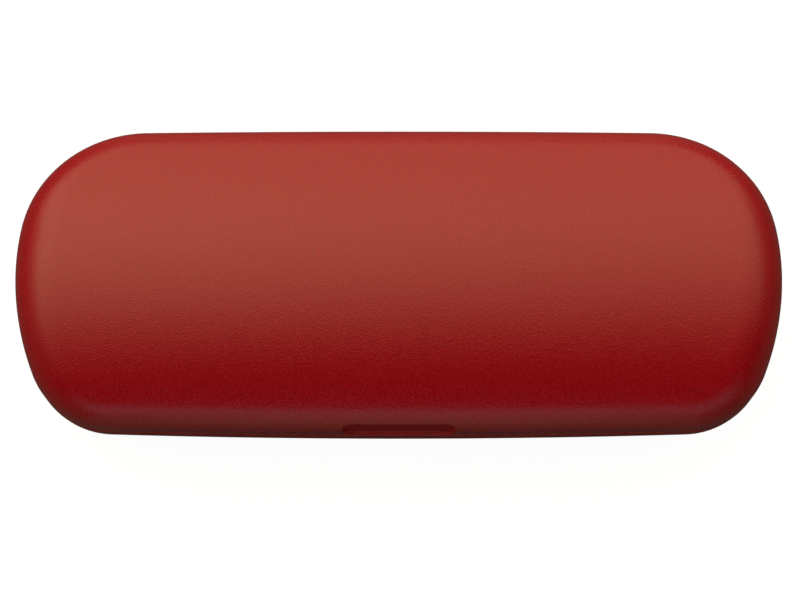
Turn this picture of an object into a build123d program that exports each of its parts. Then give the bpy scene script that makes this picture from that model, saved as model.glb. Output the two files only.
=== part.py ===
from build123d import *
from math import acos, asin, atan2, cos, degrees, hypot, sin, sqrt
import os

# Hard clam-shell eyeglasses case: two stamped steel shells, each padded and covered outside in leatherette
# and lined inside with a cloth-faced tray, joined along the back by one long sprung hinge.
# Frame: X along the case, -Y the opening side, +Y the hinge side, +Z up, origin under the middle of the base.
# All sizes in millimetres.

# ---- Overall form -----------------------------------------------------------------------------------------
case_length = 160.0
case_depth = 64.0
base_height = 20.5  # resting face to the parting plane
lid_height = 21.5  # parting plane to the top of the lid
parting_gap = 0.4  # between the two closed rims
end_radius = 58.0  # bowed ends, in plan
front_corner_radius = 17.5  # plan corners beside the opening edge
back_corner_radius = 26.5  # plan corners beside the hinge
front_radius = 2200.0  # barely bowed front edge, in plan

lid_crown_across = 50.0  # arch of the lid, front to back
lid_crown_along = 1000.0  # arch of the lid, end to end
lid_edge_radius = 10.0  # rounding from the lid's crown into its wall
base_crown_across = 130.0
base_crown_along = 3000.0
base_edge_radius = 16.0
base_flat_depth = 0.5  # slice taken off the base's crown to leave the resting face

# ---- Wall build-up, outside to inside ---------------------------------------------------------------------
skin = 0.7  # leatherette
glue = 0.1  # glue line between bonded layers
foam = 1.0  # sponge padding
steel = 0.4  # stamped shell
tray_gap = 0.65  # loose fit of the lining tray inside the leatherette's turn-in
tray = 0.5  # formed tray
cloth = 0.6  # flocked lining cloth

# ---- Rim --------------------------------------------------------------------------------------------------
rim_outer_round = 1.2
rim_inner_round = 0.9
turn_in = 6.0  # how far the leatherette runs back inside the shell, from the parting plane
lining_setback = 1.0  # the lining's edge lies this far inside the rim
lining_edge_round = 0.4

# ---- Thumb recess in the lid's front ----------------------------------------------------------------------
recess_width = 23.4
recess_height = 7.0
recess_above_parting = 1.9
recess_corner = 2.2
recess_depth = 0.75

# ---- Hinge ------------------------------------------------------------------------------------------------
open_angle = 100.0  # lid travel, degrees
pin_radius = 0.7
pin_clearance = 0.05  # radial, pin in knuckle
pin_head_radius = 1.05
pin_head = 0.5
leaf = 0.45  # hinge leaf sheet
hinge_length = 106.0
leaf_height = 8.0  # how far each leaf runs from the hinge axis over its shell
leaf_corner = 2.0
end_knuckle = 15.0  # base leaf's end knuckles
middle_knuckle = 16.0
knuckle_gap = 0.15  # side play between neighbouring knuckles
cam_nose_radius = 1.5
cam_play = 0.05  # between a cam's flats and the spring that presses on them
swing_clearance = 0.4  # air round the knuckles in the other leaf's notches

back_slot_play = 0.35  # between the dropped back rims and the knuckles
back_slot_margin = 3.0  # level slot beyond each end of the hinge
back_slot_run = 8.5  # length of the ramps where the rims drop beside the hinge

spring = 0.25  # leaf spring strip
spring_width = 19.0
spring_reach = 1.2  # how far the springs stand above the hinge axis
spring_foot = 7.0  # how far they run down the base leaf
spring_corner = 1.2
spring_rivet_pitch = 11.0

rivet_radius = 0.8
rivet_clearance = 0.05
rivet_head_radius = 1.4
rivet_head = 0.35
rivet_drop = 4.7  # rivet line, measured from the hinge axis
pocket_clearance = 0.15  # foam round the rivets' outer heads
lid_rivet_places = (-46.0, -16.0, 16.0, 46.0)
base_rivet_places = (-46.0, 0.0, 46.0)

# ---- Places worked out from the sizes ---------------------------------------------------------------------
half_length = case_length / 2
half_depth = case_depth / 2
foam_out = skin + glue
foam_in = foam_out + foam
steel_out = foam_in + glue
steel_in = steel_out + steel
turn_in_out = steel_in + glue
turn_in_in = turn_in_out + skin
tray_out = turn_in_in + tray_gap
tray_in = tray_out + tray
cloth_out = tray_in + glue
cloth_in = cloth_out + cloth

rim = parting_gap / 2  # rim plane, from the parting plane
core_edge = skin + glue  # foam and steel end this far above the rim
lining_edge = lining_setback + cloth + glue  # the tray ends this far above the rim

bore_radius = pin_radius + pin_clearance
knuckle_radius = bore_radius + leaf
leaf_out = steel_in  # the leaves lie against the inside of the steel
leaf_in = leaf_out + leaf
spring_in = leaf_in + spring
hinge_y = half_depth - leaf_in + knuckle_radius  # the leaves' front faces run tangent to the knuckles
back_rim = knuckle_radius + back_slot_play
back_slot_half = hinge_length / 2 + back_slot_margin
cam_flat = knuckle_radius - cam_play
cam_start = middle_knuckle / 2
cam_finish = hinge_length / 2 - end_knuckle
spring_x = (cam_start + cam_finish) / 2

LID, BASE = "lid", "base"
edge_radius = {LID: lid_edge_radius, BASE: base_edge_radius}
crown_across = {LID: lid_crown_across, BASE: base_crown_across}
crown_along = {LID: lid_crown_along, BASE: base_crown_along}
crown_top = {LID: lid_height, BASE: base_height + base_flat_depth}
rivet_places = {LID: lid_rivet_places, BASE: base_rivet_places}
beyond = 2 * case_length  # longer than anything that is cut


# ---- Plan and dome ----------------------------------------------------------------------------------------
def corner_centre(corner, side_centre_y, side_radius):
    """Centre of a plan corner that runs smoothly into the end arc and into a side arc centred on x = 0."""
    end_x = half_length - end_radius
    from_end = end_radius - corner
    from_side = side_radius - corner
    gap = hypot(end_x, side_centre_y)
    along = (from_end**2 - from_side**2 + gap**2) / (2 * gap)
    across = sqrt(from_end**2 - along**2)
    to_side = Vector(-end_x, side_centre_y) / gap
    normal = Vector(abs(to_side.Y), -to_side.X * (1 if to_side.Y > 0 else -1))
    return Vector(end_x, 0) + to_side * along + normal * across


def plan_face(inset):
    """Plan of the case, drawn in by inset: straight back, faintly bowed front, bowed ends."""
    end = Vector(half_length - end_radius, 0)
    front = Vector(0, front_radius - half_depth)
    front_corner = corner_centre(front_corner_radius, front.Y, front_radius)
    back_y = half_depth - back_corner_radius
    back_corner = Vector(end.X + sqrt((end_radius - back_corner_radius) ** 2 - back_y**2), back_y)

    def heading(start, finish):
        way = finish - start
        return degrees(atan2(way.Y, way.X))

    front_turn = heading(front, front_corner)
    end_turn_front = heading(end, front_corner)
    end_turn_back = heading(end, back_corner)
    right = [
        CenterArc(front, front_radius - inset, -90, front_turn + 90),
        CenterArc(front_corner, front_corner_radius - inset, front_turn, end_turn_front - front_turn),
        CenterArc(end, end_radius - inset, end_turn_front, end_turn_back - end_turn_front),
        CenterArc(back_corner, back_corner_radius - inset, end_turn_back, 90 - end_turn_back),
        Line((back_corner.X, half_depth - inset), (0, half_depth - inset)),
    ]
    left = [mirror(piece, Plane.YZ) for piece in right]
    return make_face(Curve() + right + left)


def crown_block(half, inset):
    """Everything under a crown: an arc across the case carried along a shallower arc from end to end."""
    reach = half_depth + 5
    top = crown_top[half] - inset
    radius = crown_across[half] - inset
    side_z = top - radius + sqrt(radius**2 - reach**2)
    floor_z = -20.0
    section = make_face(
        Curve()
        + [
            ThreePointArc((0, -reach, side_z), (0, 0, top), (0, reach, side_z)),
            Line((0, reach, side_z), (0, reach, floor_z)),
            Line((0, reach, floor_z), (0, -reach, floor_z)),
            Line((0, -reach, floor_z), (0, -reach, side_z)),
        ]
    )
    axis = Axis((0, 0, crown_top[half] - crown_along[half]), (0, 1, 0))
    sweep = degrees(2 * (half_length + 5) / crown_along[half])
    return revolve(section.rotate(axis, -sweep / 2), axis, sweep)


made_forms = {}


def form(half, inset):
    """One half of the case as a solid, drawn in by inset all over. Its parting plane is z = 0, its crown is up."""
    if (half, inset) not in made_forms:
        below = 12.0
        wall = Pos(0, 0, -below) * extrude(plan_face(inset), below + crown_top[half] + 5)
        block = wall & crown_block(half, inset)
        crown = block.faces().sort_by(Axis.Z)[-1]
        block = fillet(crown.edges(), edge_radius[half] - inset)
        if half == BASE:
            block -= Pos(0, 0, base_height - inset + beyond / 2) * Box(beyond, beyond, beyond)
        made_forms[half, inset] = block
    return made_forms[half, inset]


# ---- Rim trimming -----------------------------------------------------------------------------------------
def back_slot_profile(grow):
    """The air under a back rim, seen from behind: the rim plane, raised beside the hinge by two smooth ramps."""
    rise = back_rim - rim
    ramp = (back_slot_run**2 / rise + rise) / 4
    turn = degrees(acos(1 - rise / (2 * ramp)))
    foot_x, foot_z = back_slot_half + back_slot_run, rim + grow
    head_x, head_z = back_slot_half, back_rim + grow
    right = [
        Line((0, head_z), (head_x, head_z)),
        CenterArc((head_x, head_z - ramp - grow), ramp + grow, 90 - turn, turn),
        CenterArc((foot_x, foot_z + ramp - grow), ramp - grow, 270 - turn, turn),
        Line((foot_x, foot_z), (beyond, foot_z)),
        Line((beyond, foot_z), (beyond, -beyond)),
        Line((beyond, -beyond), (0, -beyond)),
    ]
    left = [mirror(piece, Plane.YZ) for piece in right]
    return make_face(Curve() + right + left)


def rim_trim(grow):
    """What is cut from a layer so that it ends grow above the rim, along the raised back rim too."""
    slab = Pos(0, 0, rim + grow - beyond / 2) * Box(2 * beyond, 2 * beyond, beyond)
    return slab + extrude(Plane.XZ * back_slot_profile(grow), -case_depth)


def above(height):
    """Everything higher than height above the parting plane."""
    return Pos(0, 0, height + beyond / 2) * Box(beyond, beyond, beyond)


def hinge_bay():
    """Inside the steel, where the hinge leaf lies in place of the leatherette's turn-in."""
    outer = half_depth - leaf_out + glue
    inner = half_depth - tray_out
    return Pos(0, (outer + inner) / 2, 0) * Box(hinge_length + 2 * swing_clearance, outer - inner, 3 * turn_in)


def rim_ring(shape, inset, top):
    """The edges below top where a trimmed shape's wall at inset meets its rim."""
    outline = plan_face(inset).face().outer_wire()
    ring = []
    for edge in shape.edges():
        box = edge.bounding_box()
        if box.max.Z > top or box.size.X + box.size.Y < 0.01:
            continue
        if all(outline.distance_to(Vertex(p.X, p.Y, 0)) < 0.005 for p in (edge @ 0.0, edge @ 0.5, edge @ 1.0)):
            ring.append(edge)
    return ring


# ---- Thumb recess -----------------------------------------------------------------------------------------
def thumb_recess(inset):
    """The pressed recess as it shows in the surface that lies inset below the lid's face."""
    width, height = recess_width + 2 * inset, recess_height + 2 * inset
    middle = recess_above_parting + recess_height / 2
    mouth = Plane.XZ * RectangleRounded(width, height, recess_corner + inset)
    window = Pos(0, 0, middle) * extrude(mouth, case_depth)
    return window - form(LID, inset + recess_depth)


def outer_form(half, inset):
    """The half's form at inset, with the thumb recess pressed into the lid."""
    shape = form(half, inset)
    return shape - thumb_recess(inset) if half == LID else shape


# ---- Rivets, in a half's own frame ------------------------------------------------------------------------
def wall_bend(half):
    """Centre, in y and z, of the back wall's rounding into the crown."""
    bend = edge_radius[half]
    y = half_depth - bend
    return y, crown_top[half] - crown_across[half] + sqrt((crown_across[half] - bend) ** 2 - y**2)


def rivet_seats(half, places):
    """Where rivets meet the outside of the steel, each with z pointing outwards, square to the wall."""
    bend_y, bend_z = wall_bend(half)
    radius = edge_radius[half] - steel_out
    tilt = asin(max(0.0, rivet_drop - bend_z) / radius)
    y = bend_y + radius * cos(tilt)
    outward = (0, cos(tilt), sin(tilt))
    return [Plane((x, y, rivet_drop), x_dir=(1, 0, 0), z_dir=outward).location for x in places]


def spring_rivet_places():
    step = spring_rivet_pitch / 2
    return [side * spring_x + way * step for side in (-1, 1) for way in (-1, 1)]


def rivet_line(half):
    places = list(rivet_places[half])
    return places + spring_rivet_places() if half == BASE else places


def rivet_bores(half):
    """Holes for the shanks through steel, leaf and spring."""
    reach = 2 * (tray_out - steel_out)
    return [at * Cylinder(rivet_radius + rivet_clearance, reach) for at in rivet_seats(half, rivet_line(half))]


def rivets(half, sheets):
    """Rivets with their heads on the steel outside and on the leaf or the spring inside, bedded to its curve."""
    rows = [(list(rivet_places[half]), leaf_in)]
    if half == BASE:
        rows.append((spring_rivet_places(), spring_in))
    made = []
    for places, grip in rows:
        through = grip - steel_out
        for at in rivet_seats(half, places):
            shank = Pos(0, 0, -through / 2) * Cylinder(rivet_radius, through + rivet_head)
            outer = Pos(0, 0, rivet_head / 2) * Cylinder(rivet_head_radius, rivet_head)
            inner = Pos(0, 0, -through - rivet_head / 2) * Cylinder(rivet_head_radius, rivet_head)
            made.append(at * (shank + outer + inner) - sheets)
    return made


# ---- Layers, in a half's own frame ------------------------------------------------------------------------
def cover(half):
    """Leatherette: over the outside, round the rim and back inside by turn_in; open behind the hinge leaf."""
    body = form(half, 0) - form(half, turn_in_in) - rim_trim(0)
    top = back_rim + 0.01
    body = fillet(rim_ring(body, 0, top), rim_outer_round)
    body = fillet(rim_ring(body, turn_in_in, top), rim_inner_round)
    if half == LID:
        body -= thumb_recess(0)
    turned = form(half, turn_in_out) - above(turn_in) - hinge_bay()
    body -= outer_form(half, skin) - rim_trim(skin) - turned
    return body - hinge_bay()


def padding(half):
    """Sponge under the leatherette, with a pocket round each rivet's outer head."""
    deep = rivet_head + pocket_clearance
    pocket = Cylinder(rivet_head_radius + pocket_clearance, 2 * deep)
    body = outer_form(half, foam_out) - form(half, foam_in) - rim_trim(core_edge)
    return body - [at * pocket for at in rivet_seats(half, rivet_line(half))]


def shell(half):
    """Stamped steel, bored for the rivets."""
    return form(half, steel_out) - form(half, steel_in) - rim_trim(core_edge) - rivet_bores(half)


def lining_tray(half):
    """Thin formed tray that carries the cloth."""
    return form(half, tray_out) - form(half, tray_in) - rim_trim(lining_edge)


def lining_cloth(half):
    """Flocked cloth: over the inside of the tray and over its edge."""
    body = form(half, tray_out) - form(half, cloth_in) - rim_trim(lining_setback)
    top = back_rim + lining_setback + 0.01
    body = fillet(rim_ring(body, tray_out, top), lining_edge_round)
    body = fillet(rim_ring(body, cloth_in, top), lining_edge_round)
    return body & (form(half, cloth_out) + rim_trim(lining_setback + cloth))


# ---- Hinge, in a half's own frame: the hinge axis is at z = 0 ----------------------------------------------
def along_hinge(profile, start, finish):
    """A profile drawn about the hinge axis, seen along it, run from start to finish."""
    return Pos(start, hinge_y, 0) * extrude(Plane.YZ * profile, finish - start)


def sheet(half, outer, profile, thickness):
    """Sheet metal that follows the inside of the back wall, cut to a profile seen from the front."""
    return (form(half, outer) - form(half, outer + thickness)) & extrude(Plane.XZ * profile, -case_depth)


def cam_profile():
    """A lid knuckle: flat towards the springs when shut and again when open, with a nose between the flats."""
    quarter = Pos(-beyond / 2, -beyond / 2) * Rectangle(beyond, beyond)
    behind_flat = Pos(cam_flat - beyond / 2, 0) * Rectangle(beyond, beyond)
    cam = Circle(knuckle_radius) + (Circle(cam_nose_radius) & quarter)
    return (cam & Rot(0, 0, 180) * behind_flat & Rot(0, 0, 180 + open_angle) * behind_flat) - Circle(bore_radius)


def leaf_profile(gaps, knuckle):
    """A leaf's outline seen from the front, notched for the other leaf's knuckles."""
    outline = Pos(0, leaf_height / 2) * Rectangle(hinge_length, leaf_height)
    outline = fillet(outline.vertices().group_by(Axis.Y)[-1], leaf_corner)
    high = knuckle + swing_clearance
    for start, finish in gaps:
        outline -= Pos((start + finish) / 2, high - beyond / 2) * Rectangle(finish - start, beyond)
    return outline


def lid_leaf():
    """Lid leaf with two cam knuckles, relieved in front so that the springs stand free of it."""
    start, finish = cam_start + knuckle_gap, cam_finish - knuckle_gap
    cams = [(-finish, -start), (start, finish)]
    end = hinge_length / 2 + 1
    body = sheet(LID, leaf_out, leaf_profile([(-end, -finish), (-start, start), (finish, end)], knuckle_radius), leaf)
    relief = Pos(-cam_flat - beyond / 2, spring_reach + swing_clearance - beyond / 2) * Rectangle(beyond, beyond)
    for start, finish in cams:
        body += along_hinge(cam_profile(), start, finish)
        body -= along_hinge(relief, start, finish)
    return body - rivet_bores(LID)


def base_leaf():
    """Base leaf with two end knuckles and a middle one."""
    end = hinge_length / 2
    gaps = [(-cam_finish, -cam_start), (cam_start, cam_finish)]
    body = sheet(BASE, leaf_out, leaf_profile(gaps, cam_nose_radius), leaf)
    tube = Circle(knuckle_radius) - Circle(bore_radius)
    for start, finish in ((-end, -cam_finish), (-cam_start, cam_start), (cam_finish, end)):
        body += along_hinge(tube, start, finish)
    return body - rivet_bores(BASE)


def hinge_spring(side):
    """Flat strip riveted to the base leaf, its free edge bearing on a cam knuckle."""
    tall = spring_reach + spring_foot
    outline = Pos(side * spring_x, tall / 2 - spring_reach) * RectangleRounded(spring_width, tall, spring_corner)
    return sheet(BASE, leaf_in, outline, spring) - rivet_bores(BASE)


def hinge_pin():
    """Plain pin with a low head past each end knuckle."""
    play = pin_clearance
    shank = Cylinder(pin_radius, hinge_length + 2 * (play + pin_head))
    heads = [
        Pos(0, 0, side * (hinge_length / 2 + play + pin_head / 2)) * Cylinder(pin_head_radius, pin_head)
        for side in (-1, 1)
    ]
    return Pos(0, hinge_y, 0) * Rot(0, 90, 0) * (shank + heads)


# ---- Assembly: the lid's frame is lifted to the parting plane, the base's frame is turned over there --------
def place(half, shape):
    if half == BASE:
        shape = mirror(shape, Plane.XY)
    return Pos(0, 0, base_height) * shape


def write(node, half, shape):
    solids = [place(half, solid) for solid in (shape if isinstance(shape, list) else shape.solids())]
    export_step(solids[0] if len(solids) == 1 else Compound(children=solids), f"parts/{node}.step")


os.makedirs("parts", exist_ok=True)
for half in (LID, BASE):
    write(f"{half}_cover", half, cover(half))
    write(f"{half}_padding", half, padding(half))
    write(f"{half}_shell", half, shell(half))
    write(f"{half}_lining_tray", half, lining_tray(half))
    write(f"{half}_lining_cloth", half, lining_cloth(half))

lid_hinge_leaf = lid_leaf()
base_hinge_leaf = base_leaf()
springs = {"left": hinge_spring(-1), "right": hinge_spring(1)}
write("lid_hinge_leaf", LID, lid_hinge_leaf)
write("base_hinge_leaf", BASE, base_hinge_leaf)
for side, strip in springs.items():
    write(f"{side}_hinge_spring", BASE, strip)
write("lid_rivets", LID, rivets(LID, [lid_hinge_leaf]))
write("base_rivets", BASE, rivets(BASE, [base_hinge_leaf, *springs.values()]))
write("hinge_pin", BASE, hinge_pin())
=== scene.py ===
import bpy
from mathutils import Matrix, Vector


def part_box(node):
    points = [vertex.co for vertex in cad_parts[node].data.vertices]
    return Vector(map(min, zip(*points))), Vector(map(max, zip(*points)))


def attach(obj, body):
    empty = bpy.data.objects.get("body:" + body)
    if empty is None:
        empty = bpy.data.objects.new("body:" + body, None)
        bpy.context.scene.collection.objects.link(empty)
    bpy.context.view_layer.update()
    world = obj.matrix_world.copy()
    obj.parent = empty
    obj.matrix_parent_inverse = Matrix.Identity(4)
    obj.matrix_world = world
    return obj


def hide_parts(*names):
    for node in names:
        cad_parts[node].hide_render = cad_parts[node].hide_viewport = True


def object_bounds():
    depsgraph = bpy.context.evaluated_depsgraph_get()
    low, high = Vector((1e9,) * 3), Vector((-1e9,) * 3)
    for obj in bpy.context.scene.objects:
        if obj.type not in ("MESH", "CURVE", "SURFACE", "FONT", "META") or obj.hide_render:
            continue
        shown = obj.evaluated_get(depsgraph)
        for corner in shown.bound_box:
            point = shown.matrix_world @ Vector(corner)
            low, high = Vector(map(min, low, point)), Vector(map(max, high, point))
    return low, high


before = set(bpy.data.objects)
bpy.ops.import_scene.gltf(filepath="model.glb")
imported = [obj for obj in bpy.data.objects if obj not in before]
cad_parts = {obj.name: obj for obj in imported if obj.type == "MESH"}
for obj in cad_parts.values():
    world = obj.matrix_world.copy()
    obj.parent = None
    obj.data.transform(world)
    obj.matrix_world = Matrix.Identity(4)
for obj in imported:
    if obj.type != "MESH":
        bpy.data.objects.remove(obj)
cad_box = [list(corner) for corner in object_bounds()]

from math import asin, atan2, cos, hypot, pi, radians, sin, sqrt

import bmesh
import bpy
from mathutils import Vector

# ---- Lid cover ------------------------------------------------------------------------------------------
# The lid's outside: polyurethane leatherette drawn tight over thin sponge on a stamped steel dome, rolled
# round the rim and glued down inside. A thumb recess is pressed into the front wall, where the finger lifts.
# It is made as one loop of the case's outline, extruded ring by ring over the dome, round the rim and back.
MM = 0.001
half_length, half_depth = cad_box[1][0] / MM, cad_box[1][1] / MM
parting = (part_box("base_cover")[1][2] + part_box("lid_cover")[0][2]) / 2 / MM
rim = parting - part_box("base_cover")[1][2] / MM
end_radius, front_corner_radius, back_corner_radius, front_radius = 58.0, 17.5, 26.5, 2200.0
ridge_half = 44.0

# The wrap's thickness and rolls, and the strip turned in behind the rim with its softened cut edge.
leather, rim_roll, rim_inner_roll = 0.7, 1.2, 0.9
turned_in, turn_in_middle, turn_in_end = 3.1, 2.6, 6.0
cut_face_in, cut_face_down = 0.12, 0.25
cut_back_in, cut_back_down = 0.15, 0.2

# The hinge's bay in the back rim: the wrap stops outside the leaf, and the rim is lower beside it.
hinge_bay, bay_wrap = 53.4, 2.2
back_rim, back_slot_half, back_slot_run = 1.55, 56.0, 8.5

recess_half_width, recess_low, recess_high, recess_corner = 11.7, 1.9, 9.4, 2.2
recess_depth, recess_edge, recess_lead, recess_side = 0.75, 0.34, 0.1, 1.1

LID = {"top": 21.5, "across": 50.0, "along": 1000.0, "edge": 10.0, "flat": None}


def outline_stations():
    """Stops round the outline: place, outward direction, and where each runs to along the crown's ridge."""
    end = Vector((half_length - end_radius, 0))
    front = Vector((0, front_radius - half_depth))
    from_end, from_side = end_radius - front_corner_radius, front_radius - front_corner_radius
    span = front - end
    along = (from_end**2 - from_side**2 + span.length_squared) / (2 * span.length)
    unit = span.normalized()
    front_corner = end + unit * along + Vector((unit.y, -unit.x)) * sqrt(from_end**2 - along**2)
    back_y = half_depth - back_corner_radius
    back_corner = Vector((end.x + sqrt((end_radius - back_corner_radius) ** 2 - back_y**2), back_y))
    stops = []

    def arc(centre, radius, start, finish, shares, ridge_start=ridge_half):
        """Adds the stops of one arc; along the front, their ridge places run from its start to its end."""
        for share in shares:
            turn = start + (finish - start) * share
            out = Vector((cos(turn), sin(turn)))
            stops.append((centre + out * radius, out, ridge_start + (ridge_half - ridge_start) * share))

    # Front and back share one list of steps, so that their rings meet along the ridge. The steps are
    # shortest where the recess's sides and the bay's end come.
    longest_step, shortest_step, growth = 0.02, 0.0015, 0.4
    changes = [place / front_corner.x for place in (recess_half_width - recess_side, recess_half_width)]
    changes.append(hinge_bay / back_corner.x)
    shares = [0.0]
    while shares[-1] < 1.0:
        near = min(abs(shares[-1] - change) for change in changes)
        shares.append(min(1.0, shares[-1] + min(longest_step, max(shortest_step, growth * near))))

    corner_steps, end_steps = 30, 18
    even = [i / corner_steps for i in range(1, corner_steps)]
    rim_ramp = [0.987, 0.9905]
    way = front_corner - front
    front_turn = atan2(way.x, -way.y)
    low = atan2(front_corner.y - end.y, front_corner.x - end.x)
    high = atan2(back_corner.y - end.y, back_corner.x - end.x)
    arc(front, front_radius, -pi / 2, front_turn - pi / 2, shares, ridge_start=0)
    arc(front_corner, front_corner_radius, front_turn - pi / 2, low, even)
    arc(end, end_radius, low, high, [i / end_steps for i in range(end_steps + 1)])
    arc(back_corner, back_corner_radius, high, pi / 2, even + rim_ramp)
    for share in reversed(shares):
        stops.append((Vector((back_corner.x * share, half_depth)), Vector((0, 1)), ridge_half * share))
    left = [(Vector((-p.x, p.y)), Vector((-o.x, o.y)), -r) for p, o, r in reversed(stops[1:-1])]
    return stops + left


def crown_height(form, x, y, inset):
    """Height of a half's crown above the parting plane, on the surface that lies inset below its outside."""
    rho = form["along"] - form["across"] + sqrt((form["across"] - inset) ** 2 - y * y)
    height = form["top"] - form["along"] + sqrt(rho * rho - x * x)
    return height if form["flat"] is None else min(height, form["flat"] - inset)


def edge_ball(form, place, out):
    """The ball that rounds the crown into the wall: its centre and the way from there to the crown."""
    x, y = place - out * form["edge"]
    rho = form["along"] - form["across"] + sqrt((form["across"] - form["edge"]) ** 2 - y * y)
    z = form["top"] - form["along"] + sqrt(rho * rho - x * x)
    lean = asin(x / rho)
    tube = rho - (form["along"] - form["across"])
    up = Vector((tube * sin(lean), y, tube * cos(lean))).normalized()
    return Vector((x, y, z)), up


def rim_level(place):
    """Height of a rim above the parting plane: level, with a smooth ramp on each side of the hinge."""
    if place.y < 0:
        return rim
    share = (abs(place.x) - back_slot_half) / back_slot_run
    share = min(1.0, max(0.0, share))
    ease = 2 * share * share if share < 0.5 else 1 - 2 * (1 - share) ** 2
    return back_rim + (rim - back_rim) * ease


def swing(start, finish, share):
    """A unit direction part of the way from start to finish."""
    angle = start.angle(finish)
    return (start * sin((1 - share) * angle) + finish * sin(share * angle)) / sin(angle)


def skin_of(rings):
    """A closed skin through rings of places, each as long as the next, built by extruding the first."""
    mesh = bmesh.new()
    loop = [mesh.verts.new(place) for place in rings[0]]
    count = len(loop)
    edges = [mesh.edges.new((loop[i], loop[(i + 1) % count])) for i in range(count)]
    for ring in rings[1:]:
        made = bmesh.ops.extrude_edge_only(mesh, edges=edges)["geom"]
        fresh = {item for item in made if isinstance(item, bmesh.types.BMVert)}
        loop = [
            next(edge.other_vert(vert) for edge in vert.link_edges if edge.other_vert(vert) in fresh)
            for vert in loop
        ]
        for vert, place in zip(loop, ring):
            vert.co = place
        edges = [mesh.edges.get((loop[i], loop[(i + 1) % count])) for i in range(count)]
    return mesh


def dome_ring(form, stops, share, inset):
    """One ring of the dome: share is 0 on the ridge, 1 at the crown's edge and 2 at the top of the wall."""
    ring = []
    for place, out, ridge in stops:
        ball, up = edge_ball(form, place, out)
        flat_out = Vector((out.x, out.y, 0))
        if share <= 1:
            edge = ball + up * (form["edge"] - inset)
            x, y = ridge + (edge.x - ridge) * share, edge.y * share
            point = Vector((x, y, crown_height(form, x, y, inset)))
            normal = up if share == 1 else (Vector((0, 0, 1)) * (1 - share) + up * share).normalized()
        else:
            normal = swing(up, flat_out, share - 1)
            point = ball + normal * (form["edge"] - inset)
            if form["flat"] is not None:
                point.z = min(point.z, form["flat"] - inset)
        ring.append((point, normal))
    return ring


def wall_ring(form, stops, share, inset, foot):
    """One ring of the upright wall: share from 0 under the rounding to 1 at foot above the rim."""
    ring = []
    for place, out, _ in stops:
        top = edge_ball(form, place, out)[0].z
        low = rim_level(place) + foot
        flat = place - out * inset
        ring.append((Vector((flat.x, flat.y, top + (low - top) * share)), Vector((out.x, out.y, 0))))
    return ring


def in_bay(place):
    """Whether a place lies in the hinge's bay."""
    return place.y > 0 and abs(place.x) < hinge_bay


def rolled_ring(stops, inset, lift, bay_inset=None):
    """One ring of the rim: inset from the outside, lift above the rim; in the bay it stays off the leaf."""
    ring = []
    for place, out, _ in stops:
        depth, rise = inset, lift
        if bay_inset is not None and in_bay(place) and inset > bay_inset:
            depth, rise = bay_inset, min(lift, leather)
        flat = place - out * depth
        ring.append(Vector((flat.x, flat.y, rim_level(place) + rise)))
    return ring


def recess_gap(x, z):
    """How far a place on the lid's front lies outside the recess's outline; below nought inside it."""
    past_x = abs(x) - (recess_half_width - recess_corner)
    past_z = abs(z - (recess_low + recess_high) / 2) - ((recess_high - recess_low) / 2 - recess_corner)
    return hypot(max(past_x, 0), max(past_z, 0)) + min(max(past_x, past_z), 0) - recess_corner


def pressed(point, normal):
    """A place on the lid's face, sunk where the thumb recess is pressed in, with its edges rolled over."""
    if point.y > 0:
        return point
    step = min(1.0, max(0.0, (recess_lead - recess_gap(point.x, point.z)) / recess_edge))
    return point - normal * recess_depth * step * step * (3 - 2 * step)


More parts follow.
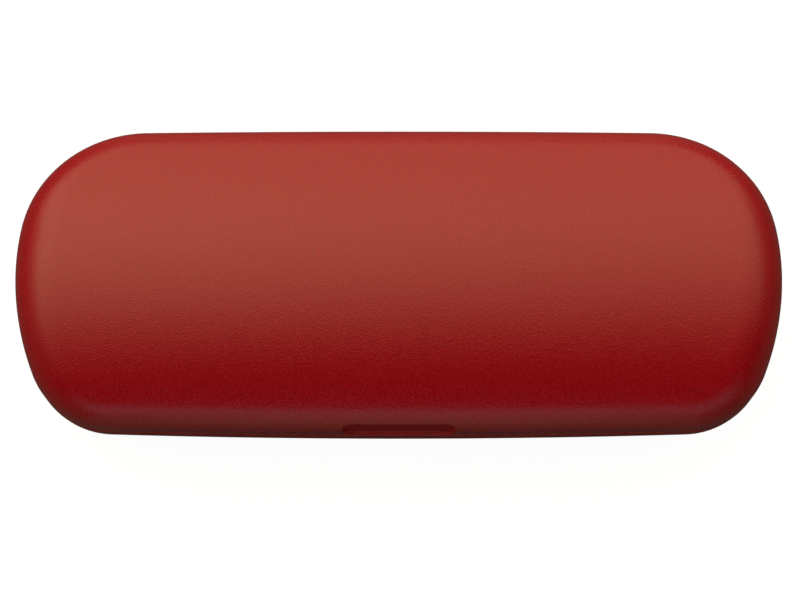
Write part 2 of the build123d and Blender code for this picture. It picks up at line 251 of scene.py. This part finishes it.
def cover_mesh(form, stops, face_shape):
    """The whole wrap of one half: outside, rim roll and turn-in, then back up under the leatherette."""
    # Shares of the crown, of the rounding and of the wall, close together where the recess's edges cross.
    crown = [0.0, 0.08, 0.17, 0.26, 0.35, 0.44, 0.53, 0.62, 0.7, 0.78, 0.85, 0.91, 0.96]
    bend = [1.0, 1.08, 1.16, 1.24, 1.31, 1.37, 1.42, 1.45, 1.47, 1.482, 1.492, 1.5, 1.508, 1.516, 1.524]
    bend += [1.532, 1.54, 1.55, 1.562, 1.58, 1.61, 1.65, 1.71, 1.78, 1.85, 1.92]
    wall = [0.0, 0.15, 0.3, 0.45, 0.58, 0.68, 0.74, 0.775, 0.8, 0.818, 0.836, 0.854, 0.872, 0.89, 0.91, 0.94]
    rings = []
    for share in crown + bend:
        rings.append([face_shape(*pair) for pair in dome_ring(form, stops, share, 0)])
    for share in wall:
        rings.append([face_shape(*pair) for pair in wall_ring(form, stops, share, 0, rim_roll)])

    # Round the rim, and up the turned-in strip to its cut edge. In the bay the strip is left out.
    roll_steps, inner_steps = 8, 6
    for i in range(roll_steps + 1):
        turn = pi / 2 * i / roll_steps
        rings.append(rolled_ring(stops, rim_roll * (1 - cos(turn)), rim_roll * (1 - sin(turn)), bay_wrap))
    for i in range(inner_steps + 1):
        turn = pi / 2 * i / inner_steps
        inner = turned_in - rim_inner_roll * (1 - sin(turn))
        rings.append(rolled_ring(stops, inner, rim_inner_roll * (1 - cos(turn)), bay_wrap))
    for height in (turn_in_middle, turn_in_end - cut_face_down):
        rings.append([p if in_bay(p) else Vector((p.x, p.y, max(height, p.z))) for p in rings[-1]])
    strip_end = rings[-1]
    strip_back = turned_in - leather
    cut_edge = (
        (turned_in - cut_face_in, turn_in_end),
        (strip_back + cut_back_in, turn_in_end),
        (strip_back, turn_in_end - cut_back_down),
    )
    for inset, height in cut_edge:
        flat = rolled_ring(stops, inset, 0, bay_wrap)
        rings.append([kept if in_bay(p) else Vector((p.x, p.y, height)) for p, kept in zip(flat, strip_end)])

    # The glued side, back down the strip, round the rim and up to the ridge.
    rings.append(rolled_ring(stops, strip_back, leather, bay_wrap))
    rings.append(rolled_ring(stops, rim_roll, leather))
    rings.append(rolled_ring(stops, leather, rim_roll))
    for share in (0.5, 0.0):
        rings.append([face_shape(*pair) for pair in wall_ring(form, stops, share, leather, rim_roll)])
    for share in (1.75, 1.5, 1.25, 1.0, 0.8, 0.6, 0.4, 0.2, 0.0):
        rings.append([face_shape(*pair) for pair in dome_ring(form, stops, share, leather)])
    return skin_of(rings)


def stand_on_frame(mesh, turned_over):
    """From a half's own millimetres to the frame's metres: up to the parting plane, the base turned over."""
    weld, sliver = 0.002, 0.0005
    bmesh.ops.remove_doubles(mesh, verts=mesh.verts, dist=weld)
    bmesh.ops.dissolve_degenerate(mesh, edges=mesh.edges, dist=sliver)
    if turned_over:
        bmesh.ops.scale(mesh, vec=(1, 1, -1), verts=mesh.verts)
    bmesh.ops.translate(mesh, vec=(0, 0, parting), verts=mesh.verts)
    bmesh.ops.scale(mesh, vec=(MM, MM, MM), verts=mesh.verts)
    bmesh.ops.recalc_face_normals(mesh, faces=mesh.faces)
    return mesh


def set_down(name, mesh, material, body, node):
    """Makes the mesh a smooth object with its material, riding on its body in place of its solid."""
    data = bpy.data.meshes.new(name)
    for face in mesh.faces:
        face.smooth = True
    mesh.to_mesh(data)
    mesh.free()
    piece = bpy.data.objects.new(name, data)
    bpy.context.collection.objects.link(piece)
    data.materials.append(material)
    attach(piece, body)
    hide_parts(node)
    return piece


def colour(code):
    """A #rrggbb colour in the linear values that nodes take."""
    parts = [int(code[i : i + 2], 16) / 255 for i in (1, 3, 5)]
    return [c / 12.92 if c <= 0.04045 else ((c + 0.055) / 1.055) ** 2.4 for c in parts] + [1.0]


def add(tree, kind, settings=None, **sockets):
    """Adds a node with its settings, and fills or links its sockets by name, or by place after an _."""
    node = tree.nodes.new(kind)
    for key, value in (settings or {}).items():
        setattr(node, key, value)
    for key, value in sockets.items():
        socket = node.inputs[int(key[1:])] if key[0] == "_" else node.inputs[key.replace("_", " ")]
        if isinstance(value, bpy.types.NodeSocket):
            tree.links.new(value, socket)
        else:
            socket.default_value = value
    return node


def new_material(name):
    """A material of that name and its node tree, which is empty."""
    material = bpy.data.materials.new(name)
    material.use_nodes = True
    tree = material.node_tree
    tree.nodes.clear()
    return material, tree


smooth_step = {"interpolation_type": "SMOOTHSTEP"}
times_plus = {"operation": "MULTIPLY_ADD"}
two_colours = {"data_type": "RGBA"}


def leatherette(name, low, high, roughness, gloss):
    """Polyurethane leatherette, embossed with a fine nappa grain: pebbles about 0.5 mm across between
    shallow creases, with finer pores. Its colour is darker in the creases, as painted shade, and varies at
    random with the pores. The film is semi-matt, so it takes broad soft highlights that break up in the
    grain. Real grain may be finer; this is as fine as still shows. Sizes are in metres."""
    wander, drift_by, pebble, pore_gap, swelling = 0.0009, 0.00025, 0.00048, 0.00055, 0.011
    material, tree = new_material(name)
    place = add(tree, "ShaderNodeTexCoord").outputs["Object"]
    warp = add(tree, "ShaderNodeTexNoise", Vector=place, Scale=1 / wander, Detail=1.0)
    way = warp.outputs["Color"]
    drift = add(tree, "ShaderNodeVectorMath", {"operation": "SCALE"}, _0=way, Scale=drift_by)
    moved = add(tree, "ShaderNodeVectorMath", {"operation": "ADD"}, _0=place, _1=drift.outputs[0])
    to_edges = {"feature": "DISTANCE_TO_EDGE"}
    pebbles = add(tree, "ShaderNodeTexVoronoi", to_edges, Vector=moved.outputs[0], Scale=1 / pebble)
    edge = pebbles.outputs["Distance"]
    crease = add(tree, "ShaderNodeMapRange", smooth_step, _0=edge, _1=0.0, _2=0.45, _3=0.0, _4=1.0)
    pores = add(tree, "ShaderNodeTexNoise", Vector=place, Scale=1 / pore_gap, Detail=2.0, Roughness=0.6)
    swell = add(tree, "ShaderNodeTexNoise", Vector=place, Scale=1 / swelling, Detail=1.5)
    pore = pores.outputs["Fac"]
    fine = add(tree, "ShaderNodeMath", times_plus, _0=pore, _1=1.3, _2=crease.outputs[0])
    relief = add(tree, "ShaderNodeMath", times_plus, _0=swell.outputs["Fac"], _1=1.2, _2=fine.outputs[0])
    bump = add(tree, "ShaderNodeBump", Height=relief.outputs[0], Strength=0.5, Distance=0.00005)
    # Painted shade: the film's colour is darker in the creases between the pebbles, and the pores vary it at
    # random.
    shade = add(tree, "ShaderNodeMapRange", _0=fine.outputs[0], _1=0.5, _2=1.8, _3=0.0, _4=1.0)
    film = add(tree, "ShaderNodeMix", two_colours, Factor=shade.outputs[0], _6=colour(low), _7=colour(high))
    dull, bright = roughness + 0.04, roughness - 0.03
    spread = add(tree, "ShaderNodeMapRange", _0=pore, _1=0.3, _2=0.7, _3=dull, _4=bright)
    shader = add(
        tree, "ShaderNodeBsdfPrincipled", Base_Color=film.outputs[2], Roughness=spread.outputs[0],
        Normal=bump.outputs[0], IOR=1.5, Specular_IOR_Level=gloss, Specular_Tint=(1.0, 0.97, 0.82, 1.0),
    )
    add(tree, "ShaderNodeOutputMaterial", Surface=shader.outputs[0])
    return material


stops = outline_stations()
red_leatherette = leatherette("embossed red polyurethane leatherette", "#98050f", "#af091a", 0.24, 0.5)

# On the recess's floor the leatherette is a rougher copy with far less gloss and a narrower range of reds:
# painted shade, which darkens the floor where the recess's upper edge shades it.
recess_shade_leatherette = leatherette(
    "red polyurethane leatherette dulled as painted shade", "#9c0612", "#a80817", 0.45, 0.12
)
lid_skin = stand_on_frame(cover_mesh(LID, stops, pressed), False)
# The recess's floor takes the dulled copy, as painted shade.
for face in lid_skin.faces:
    x, y, z = face.calc_center_median() / MM
    above = z - parting
    if y < 0 and above > recess_low + recess_edge and recess_gap(x, above) < -recess_edge / 3:
        face.material_index = 1
lid_cover = set_down("lid_leatherette", lid_skin, red_leatherette, "lid", "lid_cover")
lid_cover.data.materials.append(recess_shade_leatherette)

# ---- Base cover -----------------------------------------------------------------------------------------
# The same wrap over the lower dome, which is shallower and rounder at its edge. Its crown is pressed flat in
# the middle, where the case stands.
BASE = {"top": parting + 0.5, "across": 130.0, "along": 3000.0, "edge": 16.0, "flat": parting}


def plain(point, normal):
    """Nothing is pressed into the base, so its places stay where they are."""
    return point


base_skin = stand_on_frame(cover_mesh(BASE, stops, plain), True)
base_cover = set_down("base_leatherette", base_skin, red_leatherette, "base", "base_cover")

# ---- Linings --------------------------------------------------------------------------------------------
# Each half is lined with a thin formed tray under short black flocked cloth, which also covers its edge.
# The pile drinks the light and shows a pale sheen where it is seen along the surface.
tray_out, cloth_out, cloth_in = 3.75, 4.35, 4.95
setback, edge_roll, fold = 1.0, 0.4, 0.8


def lining_mesh(form, stops):
    """The lining cloth of one half: its face, the roll over the tray's edge, the fold and its glued back."""
    edge_steps = 5
    rings = []
    for share in (0.0, 0.2, 0.4, 0.6, 0.8, 1.0, 1.15, 1.3, 1.45, 1.6, 1.75, 1.88):
        rings.append([pair[0] for pair in dome_ring(form, stops, share, cloth_in)])
    for share in (0.0, 0.5):
        rings.append([pair[0] for pair in wall_ring(form, stops, share, cloth_in, setback + edge_roll)])
    for i in range(edge_steps + 1):
        turn = pi / 2 * i / edge_steps
        inset, lift = cloth_in - edge_roll * (1 - cos(turn)), setback + edge_roll * (1 - sin(turn))
        rings.append(rolled_ring(stops, inset, lift))
    for i in range(edge_steps + 1):
        turn = pi / 2 * i / edge_steps
        inset, lift = tray_out + edge_roll * (1 - sin(turn)), setback + edge_roll * (1 - cos(turn))
        rings.append(rolled_ring(stops, inset, lift))
    for inset in (tray_out, cloth_out):
        rings.append(rolled_ring(stops, inset, setback + cloth_in - cloth_out))
    for share in (0.4, 0.0):
        rings.append([pair[0] for pair in wall_ring(form, stops, share, cloth_out, setback + fold)])
    for share in (1.75, 1.5, 1.25, 1.0, 0.7, 0.4, 0.0):
        rings.append([pair[0] for pair in dome_ring(form, stops, share, cloth_out)])
    return skin_of(rings)


def flock():
    """Black rayon flock, short upright fibres on glued cloth: matt, with faint brushed patches and a soft
    sheen. The tufts are 0.6 mm and the patches 18 mm, in metres."""
    tuft, patch = 0.0006, 0.018
    material, tree = new_material("black rayon flock")
    place = add(tree, "ShaderNodeTexCoord").outputs["Object"]
    fibres = add(tree, "ShaderNodeTexNoise", Vector=place, Scale=1 / tuft, Detail=4.0, Roughness=0.75)
    brushed = add(tree, "ShaderNodeTexNoise", Vector=place, Scale=1 / patch, Detail=3.0, Distortion=0.8)
    pale, fibre = brushed.outputs["Fac"], fibres.outputs["Fac"]
    both = add(tree, "ShaderNodeMath", times_plus, _0=pale, _1=0.55, _2=fibre)
    shade = add(tree, "ShaderNodeMapRange", _0=both.outputs[0], _1=0.55, _2=1.0, _3=0.0, _4=1.0)
    dark, grey = colour("#141416"), colour("#3c3c42")
    pile = add(tree, "ShaderNodeMix", two_colours, Factor=shade.outputs[0], _6=dark, _7=grey)
    bump = add(tree, "ShaderNodeBump", Height=fibre, Strength=0.9, Distance=0.0003)
    shader = add(
        tree, "ShaderNodeBsdfPrincipled", Base_Color=pile.outputs[2], Roughness=0.95,
        Normal=bump.outputs[0], Sheen_Weight=0.8, Sheen_Roughness=0.35,
    )
    add(tree, "ShaderNodeOutputMaterial", Surface=shader.outputs[0])
    return material


black_flock = flock()
lid_cloth = stand_on_frame(lining_mesh(LID, stops), False)
lid_lining = set_down("lid_flocked_lining", lid_cloth, black_flock, "lid", "lid_lining_cloth")
base_cloth = stand_on_frame(lining_mesh(BASE, stops), True)
base_lining = set_down("base_flocked_lining", base_cloth, black_flock, "base", "base_lining_cloth")

# ---- Hinge ----------------------------------------------------------------------------------------------
# Two leaves of nickel-plated sheet steel curled round a steel pin, with two strips of blued spring steel
# riveted over the base leaf. The solids are the real shapes, so only their finish is set here.


def plated_steel():
    """Nickel-plated mild steel sheet: bright, slightly yellow, with fine rolling lines along the hinge."""
    lines_per_metre = (60.0, 4000.0, 4000.0)
    material, tree = new_material("nickel-plated rolled steel")
    place = add(tree, "ShaderNodeTexCoord").outputs["Object"]
    along = add(tree, "ShaderNodeMapping", Vector=place, Scale=lines_per_metre)
    lines = add(tree, "ShaderNodeTexNoise", Vector=along.outputs[0], Scale=1.0, Detail=3.0)
    rough = add(tree, "ShaderNodeMapRange", _0=lines.outputs["Fac"], _1=0.3, _2=0.7, _3=0.24, _4=0.4)
    bump = add(tree, "ShaderNodeBump", Height=lines.outputs["Fac"], Strength=0.15, Distance=0.00002)
    shader = add(
        tree, "ShaderNodeBsdfPrincipled", Base_Color=colour("#c9c4ba"), Metallic=1.0,
        Roughness=rough.outputs[0], Normal=bump.outputs[0],
    )
    add(tree, "ShaderNodeOutputMaterial", Surface=shader.outputs[0])
    return material


def spring_steel():
    """Hardened and tempered spring strip, blue-grey, clouded by the heat in patches of about 4 mm."""
    cloud_size = 0.004
    material, tree = new_material("blued spring steel strip")
    place = add(tree, "ShaderNodeTexCoord").outputs["Object"]
    cloud = add(tree, "ShaderNodeTexNoise", Vector=place, Scale=1 / cloud_size, Detail=3.0)
    blue, grey = colour("#7b818c"), colour("#a9acb2")
    tint = add(tree, "ShaderNodeMix", two_colours, Factor=cloud.outputs["Fac"], _6=blue, _7=grey)
    shader = add(tree, "ShaderNodeBsdfPrincipled", Base_Color=tint.outputs[2], Metallic=1.0, Roughness=0.32)
    add(tree, "ShaderNodeOutputMaterial", Surface=shader.outputs[0])
    return material


def finish_solids(material, *nodes):
    """Gives the named solids their finish."""
    for node in nodes:
        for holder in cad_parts[node].material_slots:
            holder.material = material


finish_solids(plated_steel(), "lid_hinge_leaf", "base_hinge_leaf", "hinge_pin", "lid_rivets", "base_rivets")
finish_solids(spring_steel(), "left_hinge_spring", "right_hinge_spring")

# ---- Inner layers ---------------------------------------------------------------------------------------
# Between cover and lining lie a stamped steel shell, the sponge padding glued over it, and the thermoformed
# tray that carries the cloth. Only thin lines of them show, if at all, so only their finish is set here.


def stamped_steel():
    """Cold-rolled steel, stamped and left bare: dull grey, with drawing marks about 3 mm across."""
    mark_size = 0.003
    material, tree = new_material("bare stamped steel")
    place = add(tree, "ShaderNodeTexCoord").outputs["Object"]
    marks = add(tree, "ShaderNodeTexNoise", Vector=place, Scale=1 / mark_size, Detail=4.0)
    rough = add(tree, "ShaderNodeMapRange", _0=marks.outputs["Fac"], _1=0.3, _2=0.7, _3=0.4, _4=0.6)
    shader = add(
        tree, "ShaderNodeBsdfPrincipled", Base_Color=colour("#8f9193"), Metallic=1.0,
        Roughness=rough.outputs[0],
    )
    add(tree, "ShaderNodeOutputMaterial", Surface=shader.outputs[0])
    return material


def sponge():
    """Open-celled polyurethane sponge sheet, off-white, with cells about 0.4 mm across."""
    cell_size = 0.0004
    material, tree = new_material("polyurethane sponge")
    place = add(tree, "ShaderNodeTexCoord").outputs["Object"]
    cells = add(tree, "ShaderNodeTexVoronoi", Vector=place, Scale=1 / cell_size)
    depth = cells.outputs["Distance"]
    tint = add(tree, "ShaderNodeMix", two_colours, Factor=depth, _6=colour("#e8e3d4"), _7=colour("#b9b3a2"))
    bump = add(tree, "ShaderNodeBump", Height=depth, Strength=0.6, Distance=0.0002)
    shader = add(
        tree, "ShaderNodeBsdfPrincipled", Base_Color=tint.outputs[2], Roughness=0.9, Normal=bump.outputs[0]
    )
    add(tree, "ShaderNodeOutputMaterial", Surface=shader.outputs[0])
    return material


def tray_board():
    """Black thermoformed polystyrene sheet, semi-matt, mottled by the mould in spots of about 2 mm."""
    mottle_size = 0.002
    material, tree = new_material("black thermoformed polystyrene")
    place = add(tree, "ShaderNodeTexCoord").outputs["Object"]
    mottle = add(tree, "ShaderNodeTexNoise", Vector=place, Scale=1 / mottle_size, Detail=3.0)
    rough = add(tree, "ShaderNodeMapRange", _0=mottle.outputs["Fac"], _1=0.3, _2=0.7, _3=0.45, _4=0.6)
    bump = add(tree, "ShaderNodeBump", Height=mottle.outputs["Fac"], Strength=0.2, Distance=0.0001)
    shader = add(
        tree, "ShaderNodeBsdfPrincipled", Base_Color=colour("#1c1c1e"), Roughness=rough.outputs[0],
        Normal=bump.outputs[0],
    )
    add(tree, "ShaderNodeOutputMaterial", Surface=shader.outputs[0])
    return material


finish_solids(stamped_steel(), "lid_shell", "base_shell")
finish_solids(sponge(), "lid_padding", "base_padding")
finish_solids(tray_board(), "lid_lining_tray", "base_lining_tray")

# ---- Table, light and camera ----------------------------------------------------------------------------
# A white table in a studio: a lit drape hangs over the case from behind, brightest at the back and fading
# out towards the camera's feet, where only a low card stands. So the lid's front slope stays deep in colour.

times = {"operation": "MULTIPLY"}
larger = {"operation": "MAXIMUM"}
unsigned = {"operation": "ABSOLUTE"}


def white_table():
    """Matt pale laminate: plain white to the camera and through glass, and grey with shadows otherwise.
    Before and behind the case, pale patches of painted light lie on the grey, so the floor close round the
    case stays darker. Distances are in metres."""
    painted_light_from, painted_light_full, ends_full, ends_gone = 0.04, 0.13, 0.05, 0.11
    grey, painted_light_grey, shadow_share, own_white = 0.11, 0.46, 0.12, 0.95
    material, tree = new_material("matt white laminate")
    seen = add(tree, "ShaderNodeLightPath").outputs
    direct = add(tree, "ShaderNodeMath", larger, _0=seen["Is Camera Ray"], _1=seen["Is Transmission Ray"])
    spot = add(tree, "ShaderNodeSeparateXYZ", Vector=add(tree, "ShaderNodeTexCoord").outputs["Object"])
    across = add(tree, "ShaderNodeMath", unsigned, _0=spot.outputs["Y"]).outputs[0]
    along = add(tree, "ShaderNodeMath", unsigned, _0=spot.outputs["X"]).outputs[0]
    # Painted light: pale patches on the grey before and behind the case, seen only in reflections and
    # bounced light.
    outward = add(
        tree, "ShaderNodeMapRange", smooth_step, _0=across, _1=painted_light_from, _2=painted_light_full, _3=0.0, _4=1.0
    )
    inward = add(
        tree, "ShaderNodeMapRange", smooth_step, _0=along, _1=ends_full, _2=ends_gone, _3=1.0, _4=0.0
    )
    card = add(tree, "ShaderNodeMath", times, _0=outward.outputs[0], _1=inward.outputs[0])
    pale = add(tree, "ShaderNodeMapRange", _0=card.outputs[0], _1=0.0, _2=1.0, _3=grey, _4=painted_light_grey)
    board = add(tree, "ShaderNodeBsdfDiffuse", Color=pale.outputs[0])
    faint = add(tree, "ShaderNodeBsdfDiffuse", Color=(shadow_share, shadow_share, shadow_share, 1))
    glow = add(tree, "ShaderNodeEmission", Color=(1, 1, 1, 1), Strength=own_white)
    white = add(tree, "ShaderNodeAddShader", _0=faint.outputs[0], _1=glow.outputs[0])
    mix = add(tree, "ShaderNodeMixShader", _0=direct.outputs[0], _1=board.outputs[0], _2=white.outputs[0])
    add(tree, "ShaderNodeOutputMaterial", Surface=mix.outputs[0])
    return material


table_top = bmesh.new()
bmesh.ops.create_grid(table_top, x_segments=1, y_segments=1, size=4.0)
table_data = bpy.data.meshes.new("table")
table_top.to_mesh(table_data)
table_top.free()
table = bpy.data.objects.new("table", table_data)
bpy.context.collection.objects.link(table)
table_data.materials.append(white_table())

scene = bpy.context.scene
scene.world = bpy.data.worlds.new("studio")
scene.world.use_nodes = True
room = scene.world.node_tree
room.nodes.clear()
generated = add(room, "ShaderNodeTexCoord").outputs["Generated"]
turned = add(room, "ShaderNodeMapping", Vector=generated, Rotation=(0, 0, radians(-8)))
way = add(room, "ShaderNodeSeparateXYZ", Vector=turned.outputs[0]).outputs

# The drape, from in front (0) over the case to behind (1), slightly warm as cloth is.
towards_back = add(room, "ShaderNodeMapRange", _0=way["Y"], _1=-1.0, _2=1.0, _3=0.0, _4=1.0)
drape = add(room, "ShaderNodeValToRGB", Fac=towards_back.outputs[0])
drape.color_ramp.interpolation = "B_SPLINE"
drape_light = [
    (0.10, (0.0015, 0.0015, 0.0015)),
    (0.21, (0.003, 0.003, 0.003)),
    (0.30, (0.09, 0.088, 0.078)),
    (0.40, (0.36, 0.35, 0.288)),
    (0.53, (0.58, 0.55, 0.405)),
    (0.67, (0.81, 0.79, 0.59)),
    (0.80, (0.875, 0.865, 0.625)),
    (0.90, (0.80, 0.76, 0.575)),
    (0.98, (0.62, 0.60, 0.44)),
]
for _ in drape_light[2:]:
    drape.color_ramp.elements.new(0.5)
for stop, (position, tone) in zip(drape.color_ramp.elements, drape_light):
    stop.position = position
    stop.color = (*tone, 1)

# The low card in front, slightly blue, which lights the foot of the lid's front wall.
low = add(room, "ShaderNodeMapRange", smooth_step, _0=way["Z"], _1=0.42, _2=0.34, _3=0.0, _4=1.0)
ahead = add(room, "ShaderNodeMapRange", smooth_step, _0=way["Y"], _1=-0.75, _2=-0.92, _3=0.0, _4=0.27)
card = add(room, "ShaderNodeMath", times, _0=low.outputs[0], _1=ahead.outputs[0])
studio = add(
    room, "ShaderNodeMix", {**two_colours, "blend_type": "ADD"}, Factor=card.outputs[0],
    _6=drape.outputs[0], _7=(0.9, 0.93, 1.25, 1),
)

# Two dark flags low at the sides, which keep the round ends deep in colour.
aside = add(room, "ShaderNodeMath", unsigned, _0=way["X"])
flags = add(room, "ShaderNodeMapRange", smooth_step, _0=aside.outputs[0], _1=0.5, _2=0.85, _3=0.0, _4=0.8)
under = add(room, "ShaderNodeMapRange", smooth_step, _0=way["Z"], _1=0.6, _2=0.2, _3=0.0, _4=1.0)
held_back = add(room, "ShaderNodeMath", times, _0=flags.outputs[0], _1=under.outputs[0])
dimmed = add(
    room, "ShaderNodeMix", two_colours, Factor=held_back.outputs[0], _6=studio.outputs[2], _7=(0, 0, 0, 1)
)

# The drape is lit a little more on the left. The camera and glass see plain white instead.
from_left = add(room, "ShaderNodeMapRange", _0=way["X"], _1=-0.25, _2=0.25, _3=2.32, _4=1.66)
studio_light = add(room, "ShaderNodeBackground", Color=dimmed.outputs[2], Strength=from_left.outputs[0])
plain_white = add(room, "ShaderNodeBackground", Color=(1, 1, 1, 1), Strength=1.0)
seen = add(room, "ShaderNodeLightPath").outputs
direct = add(room, "ShaderNodeMath", larger, _0=seen["Is Camera Ray"], _1=seen["Is Transmission Ray"])
sky = add(
    room, "ShaderNodeMixShader", _0=direct.outputs[0], _1=studio_light.outputs[0], _2=plain_white.outputs[0]
)
add(room, "ShaderNodeOutputWorld", Surface=sky.outputs[0])

# The camera looks down steeply from the front, so that its view is 0.169 m wide at the case.
distance, elevation, view_width, sensor_width = 0.70, radians(80), 0.16919, 36
aim = Vector((0, 0, parting * MM))
camera_data = bpy.data.cameras.new("camera")
camera_data.lens = sensor_width * distance / view_width
camera_data.shift_x = 0.0016
camera_data.shift_y = -0.018
camera = bpy.data.objects.new("camera", camera_data)
bpy.context.collection.objects.link(camera)
camera.location = aim + Vector((0, -cos(elevation), sin(elevation))) * distance
camera.rotation_euler = (radians(90) - elevation, 0, 0)
scene.camera = camera
scene.view_settings.view_transform = "Standard"
